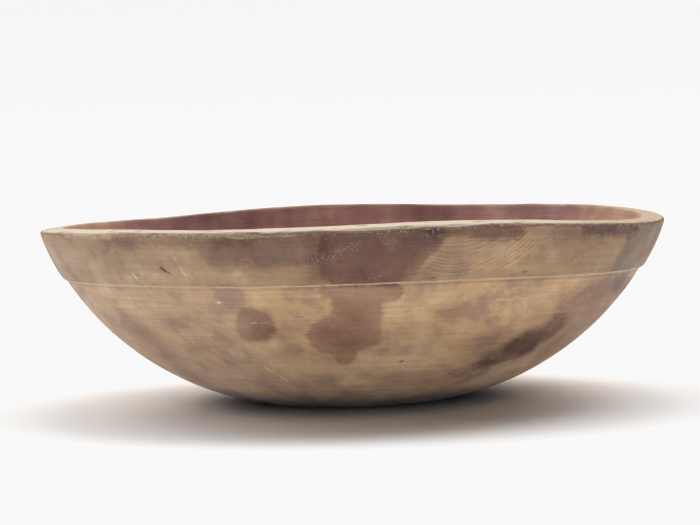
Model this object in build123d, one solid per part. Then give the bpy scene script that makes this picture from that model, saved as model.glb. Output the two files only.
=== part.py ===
from build123d import *
import math
import os

# A round dough bowl turned from one block of wood, with a band left proud round its rim.
# The section is turned about the vertical axis. Then the wood dries: the bowl shrinks
# across the grain, and the wall above the floor lifts and dips on its way round.
# The origin is the middle of the foot, on the surface that the bowl stands on.
# +Z is up and +X runs along the grain. All lengths are in millimetres.

# The turned section
RIM_DIAMETER = 407.9  # over the rim, before its outer edge is rounded
RIM_HEIGHT = 118.6  # the rim's outer edge above the table
RIM_WIDTH = 15.6  # outer edge to inner edge
RIM_FALL = 1.9  # how far the rim's top falls from its inner to its outer edge
BAND_HEIGHT = 32.2  # the band's lower edge to the rim's outer edge
BAND_FLARE = 14.3  # how far the rim stands out past the band's lower edge
BAND_CROWN = 1.2  # how far the band's face bulges past a straight line
BAND_STAND = 2.8  # how far the band stands proud of the body below it
STEP_DROP = 1.4  # how far the step under the band falls towards the body
BODY_CROWN = 19.2  # how far the body bulges past a straight line from foot to step
FOOT_DIAMETER = 100.0  # the flat that the bowl stands on
FLOOR_DIAMETER = 70.0  # the flat middle of the inside
FLOOR_THICKNESS = 17.0  # table to the inside floor

# Edges softened by the tool and by wear
RIM_OUTER_ROUND = 2.0
RIM_INNER_ROUND = 2.0
BAND_EDGE_ROUND = 1.2

# How far drying moved the wood
SHRINK_ACROSS_GRAIN = 0.04  # share of the width lost along Y
SADDLE_LIFT = 2.05  # the rim's rise at the sides of the grain and dip at its ends
SADDLE_TURN = -10.0  # degrees from +X to the lower ends of the saddle
RIPPLES = [  # smaller waves round the rim: how many crests, their lift, degrees from +X to one of them
    (1, 0.25, 129.0),
    (3, 0.45, 50.0),
    (4, 0.9, 19.0),
    (5, 0.4, 17.0),
    (6, 0.25, -19.0),
]

# How finely the dried surfaces follow the section
RING_POINT_COUNT = 32
WALL_RING_COUNT = 6  # along the body, and along the inside
EDGE_RING_COUNT = 4  # along the band, and along each softened edge
TOLERANCE = 1e-6


def dried(radius, height, angle):
    """Gives the place, after drying, of a point of the section turned to an angle."""
    wall_share = max(0.0, height - FLOOR_THICKNESS) / (RIM_HEIGHT - FLOOR_THICKNESS)
    saddle = -SADDLE_LIFT * math.cos(2 * (angle - math.radians(SADDLE_TURN)))
    ripple = sum(lift * math.cos(crests * (angle - math.radians(turn))) for crests, lift, turn in RIPPLES)
    return Vector(
        radius * math.cos(angle),
        radius * math.sin(angle) * (1 - SHRINK_ACROSS_GRAIN),
        height + (saddle + ripple) * wall_share**2,
    )


def ring(point):
    """Carries a point of the section round the bowl, as a closed wire."""
    angles = [2 * math.pi * i / RING_POINT_COUNT for i in range(RING_POINT_COUNT)]
    return Wire(Spline([dried(point.X, point.Y, a) for a in angles], periodic=True))


def turned_section():
    """Draws half the bowl's section: X is the radius and Y the height."""
    rim_radius = RIM_DIAMETER / 2
    rim_outer = Vector(rim_radius, RIM_HEIGHT)
    rim_inner = Vector(rim_radius - RIM_WIDTH, RIM_HEIGHT + RIM_FALL)
    band_foot = Vector(rim_radius - BAND_FLARE, RIM_HEIGHT - BAND_HEIGHT)
    body_top = band_foot - Vector(BAND_STAND, STEP_DROP)
    foot_edge = Vector(FOOT_DIAMETER / 2, 0)
    floor_edge = Vector(FLOOR_DIAMETER / 2, FLOOR_THICKNESS)
    foot_middle = Vector(0, 0)
    floor_middle = Vector(0, FLOOR_THICKNESS)
    section = make_face(
        [
            Line(foot_middle, foot_edge),
            SagittaArc(foot_edge, body_top, -BODY_CROWN),
            Line(body_top, band_foot),
            SagittaArc(band_foot, rim_outer, -BAND_CROWN),
            Line(rim_outer, rim_inner),
            TangentArc(floor_edge, rim_inner, tangent=(1, 0)),
            Line(floor_edge, floor_middle),
            Line(floor_middle, foot_middle),
        ]
    )
    rounds = [
        (rim_outer, RIM_OUTER_ROUND),
        (rim_inner, RIM_INNER_ROUND),
        (band_foot, BAND_EDGE_ROUND),
    ]
    for corner, radius in rounds:
        section = fillet(section.vertices().sort_by_distance(corner)[0], radius)
    return section


def skin_of(edge):
    """Makes the faces that one edge of the section leaves as it goes round the bowl."""
    if edge.geom_type == GeomType.LINE:
        count = 2
    else:
        count = WALL_RING_COUNT if edge.length > RIM_HEIGHT / 2 else EDGE_RING_COUNT
    return Shell.make_loft([ring(edge @ (i / (count - 1))) for i in range(count)]).faces()


def make_bowl():
    """Closes the skins of the section, the foot and the inside floor into one solid."""
    off_axis = [e for e in turned_section().edges() if min((e @ 0).X, (e @ 1).X) > TOLERANCE]
    wall = Shell([face for edge in off_axis for face in skin_of(edge)])
    rings = wall.edges().filter_by(lambda edge: edge.is_closed).sort_by(SortBy.LENGTH)
    floor_and_foot = [Face(Wire([edge])) for edge in rings[:2]]
    return Solid(Shell(wall.faces() + floor_and_foot))


bowl = make_bowl()
bowl.label = "bowl"
os.makedirs("parts", exist_ok=True)
export_step(bowl, "parts/bowl.step")
print("bowl", bowl.bounding_box().size, "volume", round(bowl.volume), "valid", bowl.is_valid)
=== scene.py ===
"""Dresses the turned dough bowl and sets it in plain studio light.

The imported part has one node, the bowl, on the one body "root". A finer bowl stands for it here.
It has the same section, turned and dried in the same way, with a chipped rim, a worn step and the
stains of long use. The mesh is in metres. Places on the bowl are given as a turn, in degrees round
from the front and positive to the right, and as millimetres down the wall from the rim, as a tape
laid on the wood would measure them.
"""

import logging
import math
import random
from dataclasses import dataclass
from enum import Enum
from functools import cached_property

import bpy
import numpy as np
from mathutils import Matrix, Vector, noise


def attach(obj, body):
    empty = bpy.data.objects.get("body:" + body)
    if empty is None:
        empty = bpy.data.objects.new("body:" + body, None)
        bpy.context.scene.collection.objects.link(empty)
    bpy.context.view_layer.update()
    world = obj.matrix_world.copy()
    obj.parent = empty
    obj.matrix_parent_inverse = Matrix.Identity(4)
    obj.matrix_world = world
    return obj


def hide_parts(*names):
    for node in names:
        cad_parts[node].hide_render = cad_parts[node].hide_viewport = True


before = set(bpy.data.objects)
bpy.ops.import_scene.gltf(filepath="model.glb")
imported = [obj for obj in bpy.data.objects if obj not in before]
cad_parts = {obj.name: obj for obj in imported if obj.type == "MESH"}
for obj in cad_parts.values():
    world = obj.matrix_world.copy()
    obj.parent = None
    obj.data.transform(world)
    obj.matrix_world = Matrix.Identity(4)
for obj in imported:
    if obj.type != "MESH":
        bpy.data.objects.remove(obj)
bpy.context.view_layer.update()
LOG = logging.getLogger("dough_bowl")
MM = 0.001
# Degrees from +X round to the front
FRONT_ANGLE = -90.0
# Sockets of a mix of colours, which share their names with others and so go by number
MIX_FACTOR, MIX_FROM, MIX_TO, MIX_RESULT = 0, 6, 7, 2
# The tone curve that all three colours share
COMBINED_CURVE = 3

Colour = tuple[float, float, float]
Waves = tuple[float, float, float]
Span = tuple[float, float]
Socket = bpy.types.NodeSocket
Sockets = dict[str, Socket]
Value = Socket | float | tuple[float, ...]
Inputs = dict[str | int, Value]


class Mark(Enum):
    """Named places along the section, from the foot's middle round to the inside floor's middle."""

    FOOT_EDGE = "foot edge"
    STEP = "step"
    BAND_FOOT = "band foot"
    RIM_OUTER = "rim outer edge"
    RIM_INNER = "rim inner edge"
    FLOOR_EDGE = "floor edge"


class Face(Enum):
    """The two faces of the bowl's wall."""

    OUTSIDE = "outside"
    INSIDE = "inside"


class StainKind(Enum):
    """What a stain does to the colour of the wood under it: it is multiplied by this."""

    TANNIN = (0.38, 0.245, 0.345)
    DAMP = (0.29, 0.26, 0.34)
    UMBER = (0.46, 0.37, 0.42)
    MAUVE = (0.72, 0.66, 0.71)
    GREY = (0.53, 0.53, 0.66)
    # This tint turns the wood a little grey-blue; low on the body it is painted shade
    ASH = (0.98, 1.03, 1.12)
    # Painted shade: this tint darkens the wood to blue-grey round the foot
    SOOT = (0.42, 0.52, 0.78)
    HONEY = (1.28, 1.32, 1.06)
    PALE = (1.27, 1.33, 1.27)
    FADED = (1.42, 1.68, 1.22)


class Mottle(Enum):
    """The wood's noises: their waves per unit, how many finer ones are added and how strong those are."""

    WAVER = (0.018, 2.0)
    BROAD = (0.02, 2.0)
    SPOTS = (0.03, 2.0)
    DRIFT = (0.035, 2.0)
    INSIDE = (0.045, 3.0)
    PATCHES = (0.055, 3.0)
    SOAKED = (0.06, 2.0)
    SOIL = (0.09, 3.0)
    CLOUD = (0.11, 3.0)
    RUBBED = (0.12, 2.0)
    RINGS = (0.21, 3.0)
    YEARS = (0.3, 1.0)
    GRAIN = (0.35, 2.0)
    CHIPS = (0.6, 1.0)
    CRUMBS = (0.8, 2.0, 0.7)
    RELIEF = (0.8, 3.0)
    FINE = (0.9, 2.0)
    DASHES = (1.0, 1.0)
    STREAKS = (1.0, 2.0)
    LINES = (1.0, 3.0)
    SPECKS = (1.3, 1.0)


def bulged(start: Vector, end: Vector, crown: float, steps: int) -> list[Vector]:
    """Divides an arc between two points of the section.

    Args:
        start: where the arc starts, which isn't among the points given back.
        end: where it ends.
        crown: how far it bulges to the right of the way from start to end.
        steps: how many points to give.

    Returns:
        The points, the last of them at end.
    """
    chord = end - start
    if crown == 0:
        return [start + chord * (i / steps) for i in range(1, steps + 1)]
    right = Vector((chord.y, -chord.x)).normalized()
    half_turn = 2 * math.atan2(2 * crown, chord.length)
    radius = chord.length / (2 * math.sin(half_turn))
    middle = (start + end) / 2 - right * radius * math.cos(half_turn)
    along = chord.normalized()
    points = []
    for i in range(1, steps + 1):
        angle = half_turn * (2 * i / steps - 1)
        points.append(middle + along * radius * math.sin(angle) + right * radius * math.cos(angle))
    return points


def rounded(points: list[Vector], corner: Vector, radius: float, steps: int) -> list[Vector]:
    """Rounds one corner of a line of points with an arc.

    Args:
        points: the line, with the corner among its points.
        corner: the corner.
        radius: the arc's radius.
        steps: how many points the arc gets, besides its first.

    Returns:
        The line, with the points round the corner replaced by the arc.
    """
    at = min(range(len(points)), key=lambda i: (points[i] - corner).length)
    back = (points[at - 1] - corner).normalized()
    ahead = (points[at + 1] - corner).normalized()
    half_angle = back.angle(ahead) / 2
    reach = radius / math.tan(half_angle)
    middle = corner + (back + ahead).normalized() * radius / math.sin(half_angle)
    first = corner + back * reach - middle
    turn = math.pi - 2 * half_angle
    if back.x * ahead.y - back.y * ahead.x > 0:
        turn = -turn
    arc = [middle + Matrix.Rotation(turn * i / steps, 2) @ first for i in range(steps + 1)]
    before = [p for p in points[:at] if (p - corner).length > reach]
    after = [p for p in points[at + 1 :] if (p - corner).length > reach]
    return before + arc + after


@dataclass(frozen=True)
class TurnedSection:
    """Half the bowl's section as it left the lathe: x is the radius and y the height, in millimetres."""

    rim_diameter: float = 407.9
    rim_height: float = 118.6
    rim_width: float = 15.6
    rim_fall: float = 1.9
    band_height: float = 32.2
    band_flare: float = 14.3
    band_crown: float = 1.2
    band_stand: float = 2.8
    step_drop: float = 1.4
    body_crown: float = 19.2
    foot_diameter: float = 100.0
    floor_diameter: float = 70.0
    floor_thickness: float = 17.0
    rim_outer_round: float = 2.0
    rim_inner_round: float = 2.0
    band_edge_round: float = 1.2
    drawn_step: float = 0.2
    widest_step: float = 6.5
    step_growth: float = 0.25
    rim_fine_reach: float = 3.8
    least_last_step: float = 1.0

    @cached_property
    def corners(self) -> dict[Mark, Vector]:
        """The section's corners.

        Returns:
            The place of each mark: its radius and height.
        """
        rim = self.rim_diameter / 2
        band_foot = Vector((rim - self.band_flare, self.rim_height - self.band_height))
        return {
            Mark.FOOT_EDGE: Vector((self.foot_diameter / 2, 0)),
            Mark.STEP: band_foot - Vector((self.band_stand, self.step_drop)),
            Mark.BAND_FOOT: band_foot,
            Mark.RIM_OUTER: Vector((rim, self.rim_height)),
            Mark.RIM_INNER: Vector((rim - self.rim_width, self.rim_height + self.rim_fall)),
            Mark.FLOOR_EDGE: Vector((self.floor_diameter / 2, self.floor_thickness)),
        }

    @cached_property
    def outline(self) -> list[Vector]:
        """The section drawn finely.

        Returns:
            Its points, from the foot's middle round to the inside floor's middle.
        """
        at = self.corners
        chord = at[Mark.RIM_INNER] - at[Mark.FLOOR_EDGE]
        inside_crown = chord.length / 2 * math.tan(math.atan2(chord.y, chord.x) / 2)
        spans = [
            (at[Mark.FOOT_EDGE], 0.0),
            (at[Mark.STEP], self.body_crown),
            (at[Mark.BAND_FOOT], 0.0),
            (at[Mark.RIM_OUTER], self.band_crown),
            (at[Mark.RIM_INNER], 0.0),
            (at[Mark.FLOOR_EDGE], -inside_crown),
            (Vector((0, self.floor_thickness)), 0.0),
        ]
        points = [Vector((0, 0))]
        for end, crown in spans:
            steps = math.ceil((end - points[-1]).length / self.drawn_step)
            points += bulged(points[-1], end, crown, steps)
        rounds = [
            (Mark.BAND_FOOT, self.band_edge_round),
            (Mark.RIM_OUTER, self.rim_outer_round),
            (Mark.RIM_INNER, self.rim_inner_round),
        ]
        for mark, radius in rounds:
            points = rounded(points, at[mark], radius, math.ceil(2 * radius / self.drawn_step))
        return points

    @cached_property
    def lengths(self) -> list[float]:
        """How far along the outline each of its points lies.

        Returns:
            The lengths, in millimetres.
        """
        lengths = [0.0]
        for last, this in zip(self.outline, self.outline[1:]):
            lengths.append(lengths[-1] + (this - last).length)
        return lengths

    @cached_property
    def paths(self) -> dict[Mark, float]:
        """How far along the outline each mark lies, in millimetres."""
        nearest = {
            mark: min(range(len(self.outline)), key=lambda i: (self.outline[i] - corner).length)
            for mark, corner in self.corners.items()
        }
        return {mark: self.lengths[i] for mark, i in nearest.items()}

    def radius_at(self, path: float) -> float:
        """Gives the radius at a length along the outline."""
        return float(np.interp(path, self.lengths, [point.x for point in self.outline]))

    def mesh_points(self) -> list[tuple[Vector, float]]:
        """Picks the points that the mesh needs: close at the worn edges, and wide apart between.

        Returns:
            Each point with how far along the section it lies, in millimetres.
        """
        finest = {
            Mark.FOOT_EDGE: 0.8,
            Mark.STEP: 0.5,
            Mark.BAND_FOOT: 0.3,
            Mark.RIM_OUTER: 0.5,
            Mark.RIM_INNER: 0.6,
        }
        evenly = {Mark.RIM_OUTER: self.rim_fine_reach}
        chosen = []
        for point, length in zip(self.outline, self.lengths):
            step = self.widest_step
            for mark, fine in finest.items():
                away = max(0.0, abs(length - self.paths[mark]) - evenly.get(mark, 0.0))
                step = min(step, fine + self.step_growth * away)
            if not chosen or length - chosen[-1][1] >= step:
                chosen.append((point, length))
        last = (self.outline[-1], self.lengths[-1])
        if last[1] - chosen[-1][1] < self.least_last_step:
            chosen.pop()
        return chosen + [last]


@dataclass(frozen=True)
class Drying:
    """How the turned wood moved as it dried, in millimetres and degrees.

    Each ripple has a number of crests round the rim, their lift and the angle from +X to one of them.
    """

    shrink_across_grain: float = 0.04
    saddle_lift: float = 2.05
    saddle_turn: float = -10.0
    ripples: tuple[tuple[int, float, float], ...] = (
        (1, 0.25, 129.0),
        (3, 0.45, 50.0),
        (4, 0.9, 19.0),
        (5, 0.4, 17.0),
        (6, 0.25, -19.0),
    )

    def lift(self, angle: np.ndarray, height: np.ndarray, section: TurnedSection) -> np.ndarray:
        """Gives how far points rise.

        Args:
            angle: their angles round the bowl from +X, in radians.
            height: their heights, in millimetres.
            section: the section that was turned.

        Returns:
            The rise of each point, in millimetres.
        """
        wall = np.clip(height - section.floor_thickness, 0, None)
        share = wall / (section.rim_height - section.floor_thickness)
        lift = -self.saddle_lift * np.cos(2 * (angle - math.radians(self.saddle_turn)))
        for crests, crest_lift, crest_turn in self.ripples:
            lift = lift + crest_lift * np.cos(crests * (angle - math.radians(crest_turn)))
        return lift * share**2


def smoothly(low: float, high: float, value: np.ndarray) -> np.ndarray:
    """Gives 0 below low, 1 above high and a smooth rise between."""
    share = np.clip((value - low) / (high - low), 0, 1)
    return share * share * (3 - 2 * share)


def noise_at(spots: np.ndarray, scale: float) -> np.ndarray:
    """Gives a noise about 0 at some points, with so many waves per millimetre."""
    return np.array([noise.noise(Vector(spot) * scale) for spot in spots])


@dataclass(frozen=True)
class Chip:
    """A stretch of an edge that has broken or worn away, in degrees and millimetres."""

    edge: Mark
    turn: float
    length: float
    depth: float
    below: float
    above: float
    blunt: float = 0.5
    whole: float = 0.35

    def cut(self, turns: np.ndarray, past: np.ndarray, radius: float) -> np.ndarray:
        """Gives how deep the chip is at some points.

        Args:
            turns: the points' turns round the bowl, in degrees.
            past: how far along the section they lie past the edge, in millimetres.
            radius: the edge's radius, in millimetres.

        Returns:
            The depth at each point, in millimetres.
        """
        away = (turns - self.turn + 180) % 360 - 180
        along = np.abs(np.radians(away)) * radius / (self.length / 2)
        across = np.where(past < 0, -past / self.below, past / self.above)
        ends = 1 - smoothly(self.whole, 1, along)
        sides = 1 - smoothly(1 - self.blunt, 1, across)
        return self.depth * ends * sides


@dataclass(frozen=True)
class ChipRun:
    """Many small chips, scattered along one edge."""

    edge: Mark
    count: int
    lengths: Span
    depths: Span
    widths: Span
    evenness: Span = (0.6, 1.0)
    above_share: Span = (0.4, 0.9)
    bluntness: Span = (0.2, 0.7)

    def scatter(self, dice: random.Random) -> list[Chip]:
        """Places the chips at random, small ones more often than large ones.

        Args:
            dice: the source of chance.

        Returns:
            The chips.
        """
        chips = []
        for _ in range(self.count):
            size = dice.random() ** 2
            length, depth, width = (
                low + (high - low) * size * dice.uniform(*self.evenness)
                for low, high in (self.lengths, self.depths, self.widths)
            )
            turn = dice.uniform(-180, 180)
            above = width * dice.uniform(*self.above_share)
            blunt = dice.uniform(*self.bluntness)
            chips.append(Chip(self.edge, turn, length, depth, width, above, blunt))
        return chips


# Chips along the front of the rim
FRONT_CHIPS = [
    Chip(Mark.RIM_OUTER, -53, 62, 0.5, 4.0, 2.4, 0.8),
    Chip(Mark.RIM_OUTER, -50, 9, 0.5, 2.6, 1.6),
    Chip(Mark.RIM_OUTER, -45, 5, 0.6, 2.4, 1.4),
    Chip(Mark.RIM_OUTER, -40, 7, 0.6, 2.2, 1.4),
    Chip(Mark.RIM_OUTER, -36, 4, 0.5, 1.8, 1.2),
    Chip(Mark.RIM_OUTER, -33, 6, 0.6, 2.0, 1.2),
    Chip(Mark.RIM_OUTER, -29, 4, 0.5, 1.8, 1.2),
    Chip(Mark.RIM_OUTER, -26, 8, 0.6, 2.2, 1.3),
    Chip(Mark.RIM_OUTER, -13, 70, 0.6, 3.4, 1.4, 0.4),
    Chip(Mark.RIM_OUTER, -18, 12, 0.4, 3.8, 1.4, 0.4),
    Chip(Mark.RIM_OUTER, -8, 16, 0.4, 3.8, 1.4, 0.4),
    Chip(Mark.RIM_OUTER, 5, 62, 0.5, 2.2, 1.4, 0.2),
    Chip(Mark.RIM_OUTER, 12, 6, 0.8, 3.4, 1.8, 0.3),
    Chip(Mark.RIM_OUTER, 29, 9, 0.5, 2.2, 1.3, 0.4),
]
# Small chips all round
CHIP_RUNS = [
    ChipRun(Mark.RIM_OUTER, 130, (2.5, 16), (0.25, 0.9), (1.0, 2.8)),
    ChipRun(Mark.RIM_INNER, 24, (2.5, 12), (0.15, 0.5), (0.8, 1.8)),
    ChipRun(Mark.BAND_FOOT, 80, (2.5, 12), (0.2, 0.6), (0.6, 1.8)),
]
# How far inward and how far down each edge goes as it wears
INTO_WOOD = {
    Mark.RIM_OUTER: (0.84, 0.54),
    Mark.RIM_INNER: (-0.6, 0.8),
    Mark.BAND_FOOT: (1.0, 0.0),
}


def deselect_all() -> None:
    """Leaves nothing selected, so that operators act on new pieces alone."""
    bpy.ops.object.select_all(action="DESELECT")


@dataclass
class Bowl:
    """The whole bowl, one piece of wood."""

    section: TurnedSection
    drying: Drying
    segments: int = 720
    weld: float = 0.01
    chip_seed: int = 11
    chip_reach: float = 9.0
    chip_waves: float = 0.45
    chip_mean: float = 0.85
    chip_spread: float = 0.75
    edge_wear: float = 0.32
    edge_waves: float = 0.06
    edge_mean: float = 0.7
    edge_spread: float = 0.9
    edge_width: float = 2.2
    bare_wear: Span = (0.2, 0.7)
    rim_wear: float = 0.3
    rim_waves: float = 0.03
    rim_mean: float = 0.5
    rim_spread: float = 0.6
    rim_least: float = 0.1
    rim_inset: float = 0.1
    rim_overlap: float = 4.0

    def build(self) -> bpy.types.Object:
        """Draws the section, turns it, wears its edges and lets it dry.

        Returns:
            The bowl, riding on the part's one body in place of its plain solid.
        """
        bowl = self._draw_section()
        self._turn(bowl)
        self._wear_and_dry(bowl)
        bpy.ops.object.shade_smooth()
        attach(bowl, "root")
        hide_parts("bowl")
        return bowl

    def _draw_section(self) -> bpy.types.Object:
        """Draws the section in the XZ plane, with each point's path length kept on it.

        Returns:
            The drawn section.
        """
        deselect_all()
        bpy.ops.mesh.primitive_plane_add(size=MM)
        bowl = bpy.context.object
        bowl.name = bowl.data.name = "turned_bowl"
        bpy.ops.object.mode_set(mode="EDIT")
        bpy.ops.mesh.merge(type="CENTER")
        marked = self.section.mesh_points()
        for (last, _), (this, _) in zip(marked, marked[1:]):
            move = (this - last) * MM
            bpy.ops.mesh.extrude_region_move(TRANSFORM_OT_translate={"value": (move.x, 0, move.y)})
        bpy.ops.object.mode_set(mode="OBJECT")
        path = bowl.data.attributes.new("path", "FLOAT", "POINT")
        for vertex, value in zip(bowl.data.vertices, path.data):
            here = Vector((vertex.co.x, vertex.co.z)) / MM
            value.value = min(marked, key=lambda pair: (pair[0] - here).length)[1]
        return bowl

    def _turn(self, bowl: bpy.types.Object) -> None:
        """Turns the section about the vertical axis and closes it at both middles.

        Args:
            bowl: the drawn section.
        """
        lathe = bowl.modifiers.new("lathe", "SCREW")
        lathe.axis = "Z"
        lathe.angle = 2 * math.pi
        lathe.steps = lathe.render_steps = self.segments
        lathe.use_merge_vertices = True
        lathe.merge_threshold = self.weld * MM
        bpy.ops.object.modifier_apply(modifier=lathe.name)
        bpy.ops.object.mode_set(mode="EDIT")
        bpy.ops.mesh.select_all(action="SELECT")
        bpy.ops.mesh.remove_doubles(threshold=self.weld * MM)
        bpy.ops.mesh.normals_make_consistent(inside=False)
        bpy.ops.object.mode_set(mode="OBJECT")

    def _wear_and_dry(self, bowl: bpy.types.Object) -> None:
        """Chips the edges, then shrinks the bowl across the grain and warps its wall.

        Args:
            bowl: the turned bowl.
        """
        mesh = bowl.data
        spots = np.zeros(len(mesh.vertices) * 3, np.float32)
        mesh.vertices.foreach_get("co", spots)
        spots = spots.reshape(-1, 3) / MM
        path = np.zeros(len(mesh.vertices), np.float32)
        mesh.attributes["path"].data.foreach_get("value", path)
        angle = np.arctan2(spots[:, 1], spots[:, 0])
        depth = self._chip_depth(spots, path, np.degrees(angle) - FRONT_ANGLE)
        outward = np.stack([np.cos(angle), np.sin(angle)], axis=1)
        spots[:, :2] -= outward * depth[:, :1]
        spots[:, 2] -= depth[:, 1]
        spots[:, 2] += self.drying.lift(angle, spots[:, 2], self.section)
        spots[:, 1] *= 1 - self.drying.shrink_across_grain
        mesh.vertices.foreach_set("co", (spots * MM).astype(np.float32).ravel())
        worn = mesh.attributes.new("wear", "FLOAT", "POINT")
        worn.data.foreach_set("value", depth[:, 2].astype(np.float32))
        mesh.update()

    def _chip_depth(self, spots: np.ndarray, path: np.ndarray, turns: np.ndarray) -> np.ndarray:
        """Works out how far the worn edges have gone back.

        Args:
            spots: the mesh's points, in millimetres.
            path: how far along the section they lie, in millimetres.
            turns: their turns round the bowl, in degrees.

        Returns:
            For each point, how far it moves inward and down, in millimetres, and how bare the
            wood is there, from 0 to 1.
        """
        dice = random.Random(self.chip_seed)
        chips = FRONT_CHIPS + [chip for run in CHIP_RUNS for chip in run.scatter(dice)]
        paths = self.section.paths
        moved = np.zeros((len(path), 3))
        for edge, (inward, down) in INTO_WOOD.items():
            near = np.nonzero(np.abs(path - paths[edge]) < self.chip_reach)[0]
            past = path[near] - paths[edge]
            radius = self.section.corners[edge].x
            cut = np.zeros(len(near))
            for chip in chips:
                if chip.edge == edge:
                    cut = np.maximum(cut, chip.cut(turns[near], past, radius))
            cut = cut * (self.chip_mean + self.chip_spread * noise_at(spots[near], self.chip_waves))
            uneven = self.edge_mean + self.edge_spread * noise_at(spots[near], self.edge_waves)
            rub = self.edge_wear * np.clip(uneven, 0, None) * np.exp(-((past / self.edge_width) ** 2))
            total = np.clip(cut + rub, 0, None)
            moved[near, 0] += total * inward
            moved[near, 1] += total * down
            moved[near, 2] = np.maximum(moved[near, 2], smoothly(*self.bare_wear, total))
        start = paths[Mark.RIM_OUTER] - self.rim_overlap
        end = paths[Mark.RIM_INNER] + self.rim_overlap
        top = np.nonzero((path > start) & (path < end))[0]
        uneven = self.rim_mean + self.rim_spread * noise_at(spots[top], self.rim_waves)
        moved[top, 1] += self.rim_wear * np.clip(uneven, self.rim_least, None)
        moved[top, 0] += self.rim_inset
        return moved


class Sheet:
    """A node tree that is being filled."""

    def __init__(self, tree: bpy.types.NodeTree) -> None:
        """Starts on a tree."""
        self.tree = tree

    def put(self, socket: Socket, value: Value) -> None:
        """Links a socket to another one, or sets its own value.

        Args:
            socket: the input.
            value: an output to link to it, or its value.
        """
        if isinstance(value, Socket):
            self.tree.links.new(value, socket)
        elif isinstance(value, tuple) and socket.type == "RGBA" and len(value) == 3:
            socket.default_value = (*value, 1.0)
        else:
            socket.default_value = value

    def add(self, kind: str, inputs: Inputs | None = None, **settings: object) -> bpy.types.Node:
        """Adds a node.

        Args:
            kind: the node's type, without its ShaderNode prefix.
            inputs: values or links for its inputs, by name or number.
            settings: the node's own settings.

        Returns:
            The node.
        """
        node = self.tree.nodes.new("ShaderNode" + kind)
        for name, setting in settings.items():
            setattr(node, name, setting)
        for name, value in (inputs or {}).items():
            self.put(node.inputs[name], value)
        return node

    def use(self, group: bpy.types.NodeTree, inputs: Inputs) -> Sockets:
        """Places a node group, with values or links for its inputs, and gives its outputs."""
        return self.add("Group", inputs, node_tree=group).outputs

    def math(self, operation: str, a: Value, b: Value = 0.0, c: Value = 0.0) -> Socket:
        """Adds a sum of up to three numbers."""
        return self.add("Math", {0: a, 1: b, 2: c}, operation=operation).outputs[0]

    def product(self, a: Value, b: Value) -> Socket:
        """Multiplies two numbers."""
        return self.math("MULTIPLY", a, b)

    def scaled(self, value: Value, factor: Value, plus: Value) -> Socket:
        """Multiplies a number by a factor, then adds another number."""
        return self.math("MULTIPLY_ADD", value, factor, plus)

    def about_zero(self, value: Value) -> Socket:
        """Shifts a number from 0 to 1 so that its middle is 0."""
        return self.math("SUBTRACT", value, 0.5)

    def vector_math(self, operation: str, a: Value, b: Value = (0.0, 0.0, 0.0)) -> Socket:
        """Adds a sum of two vectors that gives a vector."""
        return self.add("VectorMath", {0: a, 1: b}, operation=operation).outputs["Vector"]

    def vector(self, x: Value, y: Value, z: Value) -> Socket:
        """Makes a vector of three numbers."""
        return self.add("CombineXYZ", {0: x, 1: y, 2: z}).outputs[0]

    def parts(self, vector: Value) -> list[Socket]:
        """Takes a vector apart."""
        return list(self.add("SeparateXYZ", {0: vector}).outputs)

    def rotated(self, vector: Value, angle: Value, axis: str) -> Socket:
        """Turns a vector by an angle in radians about an axis, X, Y or Z."""
        inputs = {"Vector": vector, "Angle": angle}
        return self.add("VectorRotate", inputs, rotation_type=axis + "_AXIS").outputs[0]

    def remap(
        self, value: Value, low: Value, high: Value, to_low: Value = 0.0, to_high: Value = 1.0
    ) -> Socket:
        """Carries a range of numbers to another one, smoothly and without passing its ends.

        Args:
            value: the number.
            low: where its range starts.
            high: where its range ends.
            to_low: what it becomes at low and below.
            to_high: what it becomes at high and above.

        Returns:
            The new number.
        """
        inputs = {"Value": value, "From Min": low, "From Max": high, "To Min": to_low, "To Max": to_high}
        return self.add("MapRange", inputs, interpolation_type="SMOOTHSTEP").outputs["Result"]

    def near(self, value: Value, full: float, none: float, strength: Value = 1.0) -> Socket:
        """Masks where a number is near zero: full strength within full, nothing beyond none."""
        return self.remap(self.math("ABSOLUTE", value), full, none, strength, 0.0)

    def noise(self, place: Value, scale: float, detail: float = 2.0, roughness: float = 0.6) -> Socket:
        """Adds a noise from 0 to 1, about a half.

        Args:
            place: where it is read.
            scale: its waves per unit of the place.
            detail: how many finer waves are added.
            roughness: how strong those are.

        Returns:
            The noise.
        """
        inputs = {"Vector": place, "Scale": scale, "Detail": detail, "Roughness": roughness}
        return self.add("TexNoise", inputs).outputs["Fac"]

    def blend(self, colour: Value, other: Value, mask: Value, how: str = "MIX") -> Socket:
        """Blends another colour into a colour.

        Args:
            colour: the colour.
            other: the other one.
            mask: how much of it to take, from 0 to 1.
            how: the kind of blend.

        Returns:
            The blended colour.
        """
        inputs = {MIX_FACTOR: mask, MIX_FROM: colour, MIX_TO: other}
        return self.add("Mix", inputs, data_type="RGBA", blend_type=how).outputs[MIX_RESULT]

    def shaded(self, colour: Value, tone: Value) -> Socket:
        """Multiplies a colour by a number."""
        return self.vector_math("MULTIPLY", colour, self.vector(tone, tone, tone))


def new_group(name: str, inputs: list[str], outputs: list[str]) -> tuple[Sheet, Sockets, Sockets]:
    """Starts a node group whose sockets are all numbers, but for one named Place, which is a vector.

    Args:
        name: the group's name.
        inputs: the names of its inputs.
        outputs: the names of its outputs.

    Returns:
        The group's sheet, the sockets to read its inputs from and those that make its outputs.
    """
    tree = bpy.data.node_groups.new(name, "ShaderNodeTree")
    for names, direction in ((inputs, "INPUT"), (outputs, "OUTPUT")):
        for socket in names:
            kind = "NodeSocketVector" if socket == "Place" else "NodeSocketFloat"
            tree.interface.new_socket(socket, in_out=direction, socket_type=kind)
    given, result = tree.nodes.new("NodeGroupInput"), tree.nodes.new("NodeGroupOutput")
    return Sheet(tree), given.outputs, result.inputs


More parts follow.
